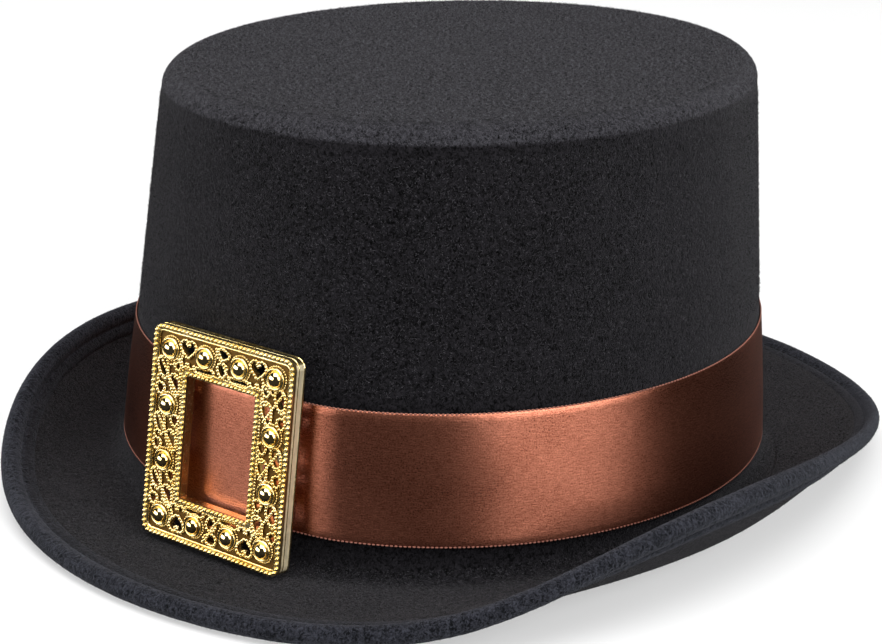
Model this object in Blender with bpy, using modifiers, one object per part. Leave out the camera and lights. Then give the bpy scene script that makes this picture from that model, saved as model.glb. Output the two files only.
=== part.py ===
"""A felt top hat with a satin band and a pierced gilt buckle. Metres, +Z up, the front faces -Y."""

import math

import bmesh
import bpy
from mathutils import Euler, Vector

STATIONS = 60

# Crown: half widths of its oval, measured at GAUGE_Z, and their change per metre of height.
GAUGE_Z = 0.0379
CROWN_HALF_X, CROWN_TAPER_X = 0.0964, -0.1355
CROWN_HALF_Y, CROWN_TAPER_Y = 0.1034, -0.0249
CROWN_MID_Y, CROWN_LEAN_Y = -0.00645, 0.058
CROWN_TOP = 0.1298
CROWN_EDGE_RADIUS = 0.0062
WALL_LEVELS = (0.0522, 0.0880)
FELT = 0.0025
GAP = 0.0003

# Foot of the crown on the brim: height of the brim's middle there, and the fillet above it.
FOOT_FRONT, FOOT_SIDE = 0.0017, 0.0069
FILLET = 0.005
FLAT_LEDGE = 0.0055

# Edge of the brim, as harmonics of the angle round the hat.
RIM_X = {1: 0.12925, 3: 0.00848, 5: 0.00321}
RIM_Y = {1: 0.15315, 3: -0.00579, 5: 0.00439}
RIM_Z = (0.01236, 0.00292, -0.01132, -0.0044, 0.00225, 0.00141, 0.00015)
RIM_MID_Y = 0.00003
CURL_FRONT, CURL_SIDE = 1.3, 2.4

# Binding: a tape folded over the edge, with a stiff wire in its fold.
TAPE = 0.0008
BINDING_HALF = 0.0029
BINDING_WIDTH = 0.0092
SEAM_INSET = 0.0060
SEAM_DIP = 0.00055
WIRE_RADIUS = 0.0006
THREAD_RADIUS = 0.00018

BAND_BOTTOM, BAND_TOP = 0.0146, 0.0522
SATIN = 0.0005
SWEATBAND_BOTTOM, SWEATBAND_TOP, SWEATBAND = 0.0100, 0.0370, 0.0010
LINING_BOTTOM, LINING = 0.0180, 0.0005

# Buckle, in its own plane: X across, Y up, Z out of the hat.
BUCKLE_AT = (-0.0005, -0.1163, 0.0356)
BUCKLE_LEAN = math.radians(7.0)
BUCKLE_HALF = (0.0256, 0.0310)
WINDOW_HALF = (0.01266, 0.01805)
BUCKLE_DEPTH = 0.0040
PLATE = 0.0014
BORDER = 0.0015
STUD_X = (-0.0192, -0.0064, 0.0064, 0.0192)
STUD_Y = (-0.0246, -0.0082, 0.0082, 0.0246)
STUD_RADIUS = 0.0022
COLLAR_RADIUS = 0.0031


def clear_scene():
    for obj in list(bpy.data.objects):
        bpy.data.objects.remove(obj, do_unlink=True)


def make_collections():
    part = bpy.data.collections.new("top_hat")
    helpers = bpy.data.collections.new("top_hat_helpers")
    for collection in (part, helpers):
        bpy.context.scene.collection.children.link(collection)
    return part, helpers


def make_material(name, color, roughness, metallic=0.0):
    material = bpy.data.materials.new(name)
    material.use_nodes = True
    shader = material.node_tree.nodes["Principled BSDF"]
    shader.inputs["Base Color"].default_value = (*color, 1.0)
    shader.inputs["Roughness"].default_value = roughness
    shader.inputs["Metallic"].default_value = metallic
    material.diffuse_color = (*color, 1.0)
    return material


def add_object(name, data, material, collection):
    obj = bpy.data.objects.new(name, data)
    data.materials.append(material)
    collection.objects.link(obj)
    return obj


def crown_point(angle, z, out=0.0):
    """A point of the crown's outer oval at height z, moved outwards by out."""
    rise = z - GAUGE_Z
    half_x = CROWN_HALF_X + CROWN_TAPER_X * rise
    half_y = CROWN_HALF_Y + CROWN_TAPER_Y * rise
    normal = Vector((half_y * math.sin(angle), -half_x * math.cos(angle))).normalized()
    x = half_x * math.sin(angle) + out * normal.x
    y = CROWN_MID_Y + CROWN_LEAN_Y * rise - half_y * math.cos(angle) + out * normal.y
    return Vector((x, y, z))


def foot_height(angle):
    """Height of the middle of the brim's felt where the crown stands on it."""
    return FOOT_FRONT + (FOOT_SIDE - FOOT_FRONT) * math.sin(angle) ** 2


def rim_point(angle):
    x = sum(size * math.sin(order * angle) for order, size in RIM_X.items())
    y = RIM_MID_Y - sum(size * math.cos(order * angle) for order, size in RIM_Y.items())
    z = sum(size * math.cos(order * angle) for order, size in enumerate(RIM_Z))
    return Vector((x, y, z))


class BrimRay:
    """The brim's middle line from the crown to the edge, at one angle round the hat."""

    def __init__(self, angle, steps=48):
        self.foot = crown_point(angle, foot_height(angle))
        edge = rim_point(angle)
        flat = Vector((edge.x - self.foot.x, edge.y - self.foot.y, 0.0))
        self.along = flat.normalized()
        self.length = flat.length
        self.rise = edge.z - self.foot.z
        self.curl = CURL_FRONT + (CURL_SIDE - CURL_FRONT) * math.sin(angle) ** 2
        reach = self.length + FELT
        run = [self.length - reach * i / steps for i in range(steps + 1)]
        self.run = run
        self.arc = [0.0]
        for near, far in zip(run, run[1:]):
            step = math.hypot(near - far, self.height(near) - self.height(far))
            self.arc.append(self.arc[-1] + step)

    def height(self, run):
        part = max(0.0, (run - FLAT_LEDGE) / (self.length - FLAT_LEDGE))
        return self.foot.z + self.rise * part**self.curl

    def point(self, inset, out=0.0):
        """The point this far in from the edge, moved off the middle line by out, upwards if positive."""
        index = 0
        while index < len(self.arc) - 2 and self.arc[index + 1] < inset:
            index += 1
        share = (inset - self.arc[index]) / (self.arc[index + 1] - self.arc[index])
        run = self.run[index] + share * (self.run[index + 1] - self.run[index])
        slope = (self.height(run + 1e-4) - self.height(run - 1e-4)) / 2e-4
        if inset < 0.0:
            run = self.run[0]
        normal = (Vector((0.0, 0.0, 1.0)) - slope * self.along).normalized()
        middle = Vector((self.foot.x, self.foot.y, 0.0)) + run * self.along
        middle.z = self.height(run)
        return middle + out * normal

    def whole(self):
        return self.arc[-1]


ANGLES = [2 * math.pi * i / STATIONS for i in range(STATIONS)]
RAYS = [BrimRay(angle) for angle in ANGLES]


def loft(name, rows, material, collection, section_closed=False, poles=None):
    """Skins rows of points that each run once round the hat. Poles close the first and the last row.

    An open skin faces outwards when its rows run downwards.
    """
    mesh = bpy.data.meshes.new(name)
    shape = bmesh.new()
    rings = [[shape.verts.new(point) for point in row] for row in rows]
    pairs = list(zip(rings, rings[1:]))
    if section_closed:
        pairs.append((rings[-1], rings[0]))
    count = len(rings[0])
    for upper, lower in pairs:
        for i in range(count):
            j = (i + 1) % count
            shape.faces.new((upper[i], lower[i], lower[j], upper[j]))
    if poles:
        first, last = (shape.verts.new(point) for point in poles)
        for i in range(count):
            j = (i + 1) % count
            shape.faces.new((first, rings[0][i], rings[0][j]))
            shape.faces.new((last, rings[-1][j], rings[-1][i]))
    if poles or section_closed:
        bmesh.ops.recalc_face_normals(shape, faces=shape.faces)
    shape.to_mesh(mesh)
    shape.free()
    return add_object(name, mesh, material, collection)


def ring(function):
    return [function(angle, ray) for angle, ray in zip(ANGLES, RAYS)]


def solidify(obj, thickness, offset):
    shell = obj.modifiers.new("thickness", "SOLIDIFY")
    shell.thickness = thickness
    shell.offset = offset
    shell.use_even_offset = True


def closed_wire(name, points, radius, material, collection):
    curve = bpy.data.curves.new(name, "CURVE")
    curve.dimensions = "3D"
    curve.bevel_depth = radius
    curve.bevel_resolution = 0
    spline = curve.splines.new("POLY")
    spline.points.add(len(points) - 1)
    for target, point in zip(spline.points, points):
        target.co = (*point, 1.0)
    spline.use_cyclic_u = True
    return add_object(name, curve, material, collection)


def flat_plate(name, outlines, bottom, top, material, collection):
    """A plate between two heights. Outlines inside the first one are holes."""
    curve = bpy.data.curves.new(name, "CURVE")
    curve.dimensions = "2D"
    curve.fill_mode = "BOTH"
    curve.extrude = (top - bottom) / 2
    for outline in outlines:
        spline = curve.splines.new("POLY")
        spline.points.add(len(outline) - 1)
        for target, (x, y) in zip(spline.points, outline):
            target.co = (x, y, 0.0, 1.0)
        spline.use_cyclic_u = True
    obj = add_object(name, curve, material, collection)
    obj.location.z = (top + bottom) / 2
    return obj


def as_mesh(obj, collection):
    """The same shape as a mesh object, so that a Boolean can read it."""
    bpy.context.view_layer.update()
    graph = bpy.context.evaluated_depsgraph_get()
    mesh = bpy.data.meshes.new_from_object(obj.evaluated_get(graph))
    mesh.transform(obj.matrix_world)
    shape = bmesh.new()
    shape.from_mesh(mesh)
    bmesh.ops.remove_doubles(shape, verts=shape.verts, dist=1e-6)
    shape.to_mesh(mesh)
    shape.free()
    name = obj.name
    bpy.data.objects.remove(obj, do_unlink=True)
    solid = bpy.data.objects.new(name, mesh)
    collection.objects.link(solid)
    return solid


def rounded_rectangle(half_x, half_y, radius, steps=4):
    points = []
    for quarter, (sx, sy) in enumerate(((1, 1), (-1, 1), (-1, -1), (1, -1))):
        for step in range(steps + 1):
            turn = math.pi / 2 * (quarter + step / steps)
            x = sx * (half_x - radius) + radius * math.cos(turn)
            y = sy * (half_y - radius) + radius * math.sin(turn)
            points.append((x, y))
    return points


def make_crown(felt, collection):
    top = CROWN_TOP
    edge = CROWN_EDGE_RADIUS
    rows = [ring(lambda a, r, f=f: tip_point(a, top, f)) for f in (0.4, 0.8)]
    for step in range(5):
        turn = math.pi / 2 * step / 4
        z = top - edge + edge * math.cos(turn)
        out = edge * (math.sin(turn) - 1.0)
        rows.append(ring(lambda a, r, z=z, out=out: crown_point(a, z, out)))
    rows += [ring(lambda a, r, z=z: crown_point(a, z)) for z in reversed(WALL_LEVELS)]
    for step in range(4):
        turn = math.radians(22.0 * step)
        rise = 0.0006 + FILLET * (1.0 - math.sin(turn))
        out = FILLET * (1.0 - math.cos(turn))
        rows.append(ring(lambda a, r, rise=rise, out=out: foot_point(a, rise, out)))
    rows.append(ring(lambda a, r: foot_point(a, 0.0, FILLET * 0.59)))
    rows.append(ring(lambda a, r: foot_point(a, 0.0, -FELT)))
    rows += [ring(lambda a, r, z=z: crown_point(a, z, -FELT)) for z in WALL_LEVELS]
    inner_top = top - FELT
    inner_edge = edge - FELT
    for step in range(3):
        turn = math.pi / 2 * (1.0 - step / 2)
        z = inner_top - inner_edge + inner_edge * math.cos(turn)
        out = -FELT + inner_edge * (math.sin(turn) - 1.0)
        rows.append(ring(lambda a, r, z=z, out=out: crown_point(a, z, out)))
    rows.append(ring(lambda a, r: tip_point(a, inner_top, 0.5)))
    middle = crown_point(0.0, top).lerp(crown_point(math.pi, top), 0.5)
    poles = ((0.0, middle.y, top), (0.0, middle.y, inner_top))
    return loft("crown_felt", rows, felt, collection, poles=poles)


def tip_point(angle, z, share):
    """A point of the flat tip, at this share of the way from its middle to its edge."""
    edge = crown_point(angle, CROWN_TOP, -CROWN_EDGE_RADIUS)
    middle_y = CROWN_MID_Y + CROWN_LEAN_Y * (CROWN_TOP - GAUGE_Z)
    return Vector((share * edge.x, middle_y + share * (edge.y - middle_y), z))


def foot_point(angle, rise, out):
    z = foot_height(angle) + FELT / 2 + GAP + rise
    return crown_point(angle, z, out)


def make_brim(felt, collection):
    half = FELT / 2
    fixed = (0.0041, 0.0062, 0.0088, 0.0120)
    shares = (0.3, 0.6, 0.85, 1.0)

    def inset_of(ray, index):
        if index < len(fixed):
            return fixed[index]
        share = shares[index - len(fixed)]
        return fixed[-1] + share * (ray.whole() - fixed[-1])

    order = range(len(fixed) + len(shares))
    rows = [ring(lambda a, r, i=i: r.point(inset_of(r, i), half)) for i in order]
    rows += [ring(lambda a, r, i=i: r.point(inset_of(r, i), -half)) for i in reversed(order)]
    return loft("brim_felt", rows, felt, collection, section_closed=True)


def binding_outline():
    """The outer face of the folded tape, as (inset, out) pairs from its upper edge round to its lower one."""
    legs = [
        (BINDING_WIDTH, BINDING_HALF - 0.0003),
        (SEAM_INSET + 0.0010, BINDING_HALF),
        (SEAM_INSET, BINDING_HALF - SEAM_DIP),
        (SEAM_INSET - 0.0010, BINDING_HALF),
    ]
    nose = [
        (BINDING_HALF * (1.0 - math.sin(turn)), BINDING_HALF * math.cos(turn))
        for turn in (math.pi * step / 5 for step in range(6))
    ]
    return legs + nose + [(inset, -out) for inset, out in reversed(legs)]


def make_binding(tape, collection):
    outer = binding_outline()
    inner = []
    for inset, out in outer:
        reach = math.hypot(BINDING_HALF - inset, out) if inset < BINDING_HALF else abs(out)
        share = (reach - TAPE) / reach
        if inset < BINDING_HALF:
            inset = BINDING_HALF - (BINDING_HALF - inset) * share
        inner.append((inset, out * share))
    section = outer + inner[::-1]
    rows = [ring(lambda a, r, s=s: edge_point(r, *s)) for s in section]
    return loft("edge_binding", rows, tape, collection, section_closed=True)


def edge_point(ray, inset, out):
    """Like BrimRay.point, with the binding's fold kept square to the brim at its edge."""
    if inset >= BINDING_HALF:
        return ray.point(inset, out)
    centre = ray.point(BINDING_HALF)
    normal = (ray.point(BINDING_HALF, 1e-3) - centre).normalized()
    outward = normal.cross(ray.along.cross(Vector((0.0, 0.0, 1.0)))).normalized()
    if outward.dot(ray.along) < 0.0:
        outward.negate()
    return centre + (BINDING_HALF - inset) * outward + out * normal


def make_edge_trim(wire, thread, collection):
    points = [edge_point(ray, BINDING_HALF - 0.0004, 0.0) for ray in RAYS]
    closed_wire("brim_wire", points, WIRE_RADIUS, wire, collection)
    lift = BINDING_HALF - SEAM_DIP + 0.00015 + THREAD_RADIUS
    for name, out in (("binding_seam_top", lift), ("binding_seam_under", -lift)):
        points = [ray.point(SEAM_INSET, out) for ray in RAYS]
        closed_wire(name, points, THREAD_RADIUS, thread, collection)


def make_hatband(satin, collection):
    """One ribbon round the crown, its two ends lapped over each other behind the buckle."""
    step = 2 * math.pi / STATIONS
    mesh = bpy.data.meshes.new("hatband")
    shape = bmesh.new()
    columns = []
    for index in range(-2, STATIONS + 3):
        lapped = min(1.0, max(0.0, (index - (STATIONS - 4)) / 2))
        out = GAP + lapped * (SATIN + GAP)
        heights = (BAND_BOTTOM, BAND_TOP)
        columns.append([shape.verts.new(crown_point(index * step, z, out)) for z in heights])
    for left, right in zip(columns, columns[1:]):
        shape.faces.new((left[0], right[0], right[1], left[1]))
    shape.to_mesh(mesh)
    shape.free()
    band = add_object("hatband", mesh, satin, collection)
    solidify(band, SATIN, 1.0)
    return band


def make_inner_rings(leather, lining, thread, collection):
    bare = -(FELT + GAP)
    heights = (LINING_BOTTOM, *WALL_LEVELS, CROWN_TOP - CROWN_EDGE_RADIUS - 0.0001)
    rows = [ring(lambda a, r, z=z: crown_point(a, z, bare)) for z in reversed(heights)]
    side = loft("lining_side", rows, lining, collection)
    solidify(side, LINING, -1.0)

    oval = [crown_point(a, CROWN_TOP, -CROWN_EDGE_RADIUS - 0.0006) for a in ANGLES]
    tip_top = CROWN_TOP - FELT - GAP
    outline = [(point.x, point.y) for point in oval]
    flat_plate("lining_tip", [outline], tip_top - LINING, tip_top, lining, collection)

    out = bare - LINING - GAP
    heights = (SWEATBAND_BOTTOM, SWEATBAND_TOP)
    rows = [ring(lambda a, r, z=z: crown_point(a, z, out)) for z in reversed(heights)]
    band = loft("sweatband", rows, leather, collection)
    solidify(band, SWEATBAND, -1.0)

    reed = [crown_point(a, SWEATBAND_BOTTOM - 0.0013, out - 0.0006) for a in ANGLES]
    closed_wire("sweatband_reed", reed, 0.0009, leather, collection)
    seam_out = out - SWEATBAND - 0.0001 - 0.0003
    seam = [crown_point(a, SWEATBAND_BOTTOM + 0.003, seam_out) for a in ANGLES]
    closed_wire("sweatband_seam", seam, 0.00025, thread, collection)
    return out - SWEATBAND


def make_rear_trim(inner_out, satin, label, collection):
    """The little bow and the blank size tab at the back of the sweatband."""
    lobes = []
    for step in range(24):
        turn = 2 * math.pi * step / 24
        width = 0.0075 * math.cos(turn)
        height = 0.0012 + 0.0032 * abs(math.cos(turn)) ** 0.7
        lobes.append((width, height * (1 if math.sin(turn) >= 0 else -1)))
    for name, z, outline, thick, material in (
        ("sweatband_bow", 0.0190, lobes, 0.0014, satin),
        ("size_tab", 0.0295, rounded_rectangle(0.011, 0.005, 0.001, 2), 0.0004, label),
    ):
        at = crown_point(math.pi, z, inner_out - GAP - thick / 2 - 0.0008)
        piece = flat_plate(name, [outline], -thick / 2, thick / 2, material, collection)
        piece.location = at
        piece.rotation_euler = (math.pi / 2, 0.0, 0.0)


def teardrop(at, length, width, turn, steps=8):
    points = []
    for step in range(steps):
        a = 2 * math.pi * step / steps
        along = length / 2 * math.cos(a)
        across = width / 2 * math.sin(a) * (1.0 + 0.45 * math.cos(a))
        x = at[0] + along * math.cos(turn) - across * math.sin(turn)
        y = at[1] + along * math.sin(turn) + across * math.cos(turn)
        points.append((x, y))
    return points


def stud_places():
    top_and_bottom = [(x, y) for y in (STUD_Y[0], STUD_Y[-1]) for x in STUD_X]
    sides = [(x, y) for x in (STUD_X[0], STUD_X[-1]) for y in STUD_Y[1:-1]]
    return top_and_bottom + sides


def heart(at, width, turn, steps=14):
    """A heart with its point along turn: x = 16 sin^3, y = 13 cos - 5 cos 2 - 2 cos 3 - cos 4, scaled to the width."""
    points = []
    for step in range(steps):
        a = 2 * math.pi * (step + 0.5) / steps
        across = 16 * math.sin(a) ** 3 * width / 32
        along = -(13 * math.cos(a) - 5 * math.cos(2 * a) - 2 * math.cos(3 * a) - math.cos(4 * a)) * width / 32
        x = at[0] + along * math.cos(turn) - across * math.sin(turn)
        y = at[1] + along * math.sin(turn) + across * math.cos(turn)
        points.append((x, y))
    return points


def spans():
    """Each space between neighbouring studs: its middle, the way along the bar, the way out to the border, spacing."""
    found = []
    for sign in (-1, 1):
        for x1, x2 in zip(STUD_X, STUD_X[1:]):
            found.append((Vector(((x1 + x2) / 2, sign * STUD_Y[-1])), Vector((1, 0)), Vector((0, sign)), x2 - x1))
        for y1, y2 in zip(STUD_Y, STUD_Y[1:]):
            found.append((Vector((sign * STUD_X[-1], (y1 + y2) / 2)), Vector((0, 1)), Vector((sign, 0)), y2 - y1))
    return found


def openwork():
    """Holes between the studs: a heart or a drop in each short space, two long drops and two round ones in each long
    space, and a slot between the window and each stud that faces it."""
    holes = []
    for middle, along, out, spacing in spans():
        outward = math.atan2(out.y, out.x)
        if spacing < 0.015 and abs(middle.x) > 0.001:
            holes.append(heart(middle + 0.0012 * out, 0.0046, outward + math.pi))
        elif spacing < 0.015:
            holes.append(teardrop(middle + 0.0023 * out, 0.0034, 0.0020, outward + math.pi / 2))
            holes.append(teardrop(middle - 0.0022 * out, 0.0030, 0.0022, outward))
        else:
            way = math.atan2(along.y, along.x)
            for side in (-1, 1):
                holes.append(teardrop(middle + side * (0.0021 * along + 0.0023 * out), 0.0054, 0.0023, way + 0.25))
                holes.append(teardrop(middle + side * (0.0040 * along - 0.0030 * out), 0.0021, 0.0017, way))
    for x in STUD_X[1:-1]:
        for sign in (-1, 1):
            holes.append(teardrop((x, sign * (STUD_Y[-1] - 0.0041)), 0.0060, 0.0011, 0.0))
    return holes


def make_buckle(gilt, pad, part, helpers):
    origin = bpy.data.objects.new("buckle_origin", None)
    part.objects.link(origin)
    origin.location = BUCKLE_AT
    origin.rotation_euler = Euler((math.pi / 2 - BUCKLE_LEAN, 0.0, 0.0))
    bx, by = BUCKLE_HALF
    wx, wy = WINDOW_HALF
    joined = bpy.data.collections.new("buckle_joined")
    helpers.children.link(joined)
    borders = (
        ("outer_wall", (bx, by, 0.0030), (bx - BORDER, by - BORDER, 0.0016), 0.0008),
        ("inner_wall", (wx + BORDER, wy + BORDER, 0.0014), (wx, wy, 0.0006), 0.0006),
    )
    for name, outer, inner, crest in borders:
        outlines = [rounded_rectangle(*outer), rounded_rectangle(*inner)[::-1]]
        floor = -BUCKLE_DEPTH if name == "outer_wall" else -0.0030
        as_mesh(flat_plate(name, outlines, floor, crest, gilt, joined), joined)
    for index, (x, y) in enumerate(stud_places()):
        circles = []
        for radius in (COLLAR_RADIUS, COLLAR_RADIUS - 0.0006):
            turns = [2 * math.pi * step / 12 for step in range(12)]
            circles.append([(x + radius * math.cos(t), y + radius * math.sin(t)) for t in turns])
        collar = flat_plate(f"collar_{index}", circles, -0.0007, 0.0010, gilt, joined)
        as_mesh(collar, joined)
    for helper in joined.objects:
        helper.hide_render = True
        helper.display_type = "WIRE"

    rim = rounded_rectangle(bx - BORDER / 2, by - BORDER / 2, 0.0024)
    window = rounded_rectangle(wx + BORDER / 2, wy + BORDER / 2, 0.0010)
    plate = flat_plate("buckle_plate", [rim, window] + openwork(), -PLATE, 0.0, gilt, part)
    frame = as_mesh(plate, part)
    frame.name = "buckle_frame"
    frame.data.materials.clear()
    frame.data.materials.append(gilt)
    union = frame.modifiers.new("union", "BOOLEAN")
    union.operation = "UNION"
    union.solver = "EXACT"
    union.operand_type = "COLLECTION"
    union.collection = joined
    bpy.context.view_layer.update()
    graph = bpy.context.evaluated_depsgraph_get()
    whole = bpy.data.meshes.new_from_object(frame.evaluated_get(graph))
    frame.modifiers.clear()
    frame.data = whole
    frame.parent = origin

    for index, (x, y) in enumerate(stud_places()):
        stud = make_stud(f"buckle_stud_{index + 1:02d}", gilt, part)
        stud.location = (x, y, GAP)
        stud.parent = origin
    for side, x in (("left", -STUD_X[-1]), ("right", STUD_X[-1])):
        make_pad(f"buckle_pad_{side}", x, pad, part, origin)


def make_stud(name, material, collection):
    """A domed stud: half an ellipse turned about its axis."""
    mesh = bpy.data.meshes.new(name)
    shape = bmesh.new()
    profile = [Vector((0.0, 0.0, 0.0023))]
    for step in range(1, 4):
        turn = math.pi / 2 * step / 3
        profile.append(Vector((STUD_RADIUS * math.sin(turn), 0.0, 0.0005 + 0.0018 * math.cos(turn))))
    profile += [Vector((STUD_RADIUS, 0.0, 0.0)), Vector((0.0, 0.0, 0.0))]
    verts = [shape.verts.new(point) for point in profile]
    edges = [shape.edges.new(pair) for pair in zip(verts, verts[1:])]
    bmesh.ops.spin(
        shape,
        geom=verts + edges,
        cent=(0.0, 0.0, 0.0),
        axis=(0.0, 0.0, 1.0),
        angle=2 * math.pi,
        steps=12,
        use_merge=True,
    )
    bmesh.ops.remove_doubles(shape, verts=shape.verts, dist=1e-6)
    bmesh.ops.recalc_face_normals(shape, faces=shape.faces)
    shape.to_mesh(mesh)
    shape.free()
    return add_object(name, mesh, material, collection)


def make_pad(name, x, material, collection, parent):
    """A pad of set adhesive between the buckle's bar and the hatband."""
    mesh = bpy.data.meshes.new(name)
    shape = bmesh.new()
    bmesh.ops.create_cube(shape, size=1.0)
    bmesh.ops.scale(shape, vec=(0.0050, 0.0150, 0.0028), verts=shape.verts)
    bmesh.ops.bevel(
        shape,
        geom=shape.edges[:],
        offset=0.0006,
        segments=1,
        affect="EDGES",
    )
    shape.to_mesh(mesh)
    shape.free()
    pad = add_object(name, mesh, material, collection)
    pad.location = (x, 0.0, -PLATE - GAP - 0.0014)
    pad.parent = parent


def main():
    clear_scene()
    part, helpers = make_collections()
    helpers.hide_render = True
    felt = make_material("felt", (0.030, 0.029, 0.032), 0.95)
    tape = make_material("binding_tape", (0.028, 0.030, 0.038), 0.80)
    satin = make_material("satin", (0.300, 0.105, 0.060), 0.35)
    gilt = make_material("gilt_metal", (0.830, 0.600, 0.230), 0.22, 1.0)
    steel = make_material("wire_steel", (0.350, 0.350, 0.360), 0.40, 1.0)
    thread = make_material("thread", (0.020, 0.020, 0.022), 0.80)
    leather = make_material("sweatband_leather", (0.040, 0.035, 0.033), 0.55)
    lining = make_material("lining_cloth", (0.035, 0.034, 0.038), 0.45)
    adhesive = make_material("adhesive", (0.700, 0.660, 0.560), 0.60)
    label = make_material("label_cloth", (0.750, 0.740, 0.700), 0.75)

    make_crown(felt, part)
    make_brim(felt, part)
    make_binding(tape, part)
    make_edge_trim(steel, thread, part)
    make_hatband(satin, part)
    inner_out = make_inner_rings(leather, lining, thread, part)
    make_rear_trim(inner_out, satin, label, part)
    make_buckle(gilt, adhesive, part, helpers)


main()
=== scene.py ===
"""The finished look of the top hat: felt, rolled hem, satin band, gilt openwork buckle and the lining inside."""

import math

import bpy
import numpy as np
from mathutils import Matrix, Vector


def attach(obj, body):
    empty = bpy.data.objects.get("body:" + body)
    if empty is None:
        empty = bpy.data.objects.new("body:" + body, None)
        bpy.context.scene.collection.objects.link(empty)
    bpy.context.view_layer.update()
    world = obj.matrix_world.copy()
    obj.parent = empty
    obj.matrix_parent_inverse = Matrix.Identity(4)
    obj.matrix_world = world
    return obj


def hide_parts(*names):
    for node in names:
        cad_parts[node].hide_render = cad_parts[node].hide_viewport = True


TAU = 2.0 * math.pi

# The hat block: the CAD part's figures, in metres, with a slightly fuller fillet at the foot.
GAUGE_Z = 0.0379
WALL_X, WALL_X_TAPER = 0.0964, -0.1355
WALL_Y, WALL_Y_TAPER = 0.1034, -0.0249
WALL_MID_Y, WALL_LEAN = -0.00645, 0.058
TIP_Z = 0.1298
TIP_EDGE = 0.0062
FELT = 0.0025
FOOT_FRONT, FOOT_SIDE = 0.0017, 0.0069
FOOT_FILLET = 0.0058
LEDGE = 0.0055
RIM_X = ((1, 0.12925), (3, 0.00848), (5, 0.00321))
RIM_Y = ((1, 0.15315), (3, -0.00579), (5, 0.00439))
RIM_Z = (0.01236, 0.00292, -0.01132, -0.0044, 0.00225, 0.00141, 0.00015)
RIM_MID_Y = 0.00003
CURL_FRONT, CURL_SIDE = 1.3, 2.4
HEM_HALF = 0.0029
FELT_END = 0.0041
BAND_LOW, BAND_HIGH = 0.0146, 0.0522
BAND_START, BAND_END = -12.0, 372.0
BAND_THICK = 0.00042
BUCKLE_AT = (-0.0005, -0.1163, 0.0356)
BUCKLE_LEAN = math.radians(7.0)
BUCKLE_HALF = (0.0256, 0.0310)
WINDOW_HALF = (0.01266, 0.01805)
STUD_X = (-0.0192, -0.0064, 0.0064, 0.0192)
STUD_Y = (-0.0246, -0.0082, 0.0082, 0.0246)
BUCKLE = Matrix.Translation(BUCKLE_AT) @ Matrix.Rotation(math.pi / 2 - BUCKLE_LEAN, 4, "X")
BUCKLE_TURN = np.array(BUCKLE.to_3x3())
BUCKLE_ORIGIN = np.array(BUCKLE.translation)

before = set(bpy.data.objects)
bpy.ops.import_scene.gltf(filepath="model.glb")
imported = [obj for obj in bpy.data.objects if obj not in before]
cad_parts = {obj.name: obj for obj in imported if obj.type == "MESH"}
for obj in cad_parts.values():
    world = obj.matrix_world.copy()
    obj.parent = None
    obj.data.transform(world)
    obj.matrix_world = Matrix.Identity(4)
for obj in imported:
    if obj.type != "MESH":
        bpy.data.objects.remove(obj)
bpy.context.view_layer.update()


# --- shapes of the block


def unit(vectors):
    return vectors / np.maximum(np.linalg.norm(vectors, axis=-1, keepdims=True), 1e-12)


def wall(turn, height, out=0.0):
    """Crown wall: an oval whose half widths change linearly with height, pushed out along its level normal."""
    turn, height, out = np.broadcast_arrays(turn, height, out)
    rise = height - GAUGE_Z
    half_x = WALL_X + WALL_X_TAPER * rise
    half_y = WALL_Y + WALL_Y_TAPER * rise
    normal = unit(np.stack([half_y * np.sin(turn), -half_x * np.cos(turn)], -1))
    x = half_x * np.sin(turn) + out * normal[..., 0]
    y = WALL_MID_Y + WALL_LEAN * rise - half_y * np.cos(turn) + out * normal[..., 1]
    return np.stack([x, y, height], -1)


def tip(turn, height, share):
    """Flat tip: its edge oval shrunk towards its middle by share."""
    edge = wall(turn, TIP_Z, -TIP_EDGE)
    middle = WALL_MID_Y + WALL_LEAN * (TIP_Z - GAUGE_Z)
    turn, share = np.broadcast_arrays(turn, share)
    x = share * edge[..., 0]
    y = middle + share * (edge[..., 1] - middle)
    return np.stack([x, y, np.broadcast_to(height, x.shape)], -1)


def foot_level(turn):
    """Middle height of the brim at the crown: lowest in front and behind, highest at the sides."""
    return FOOT_FRONT + (FOOT_SIDE - FOOT_FRONT) * np.sin(turn) ** 2


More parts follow.
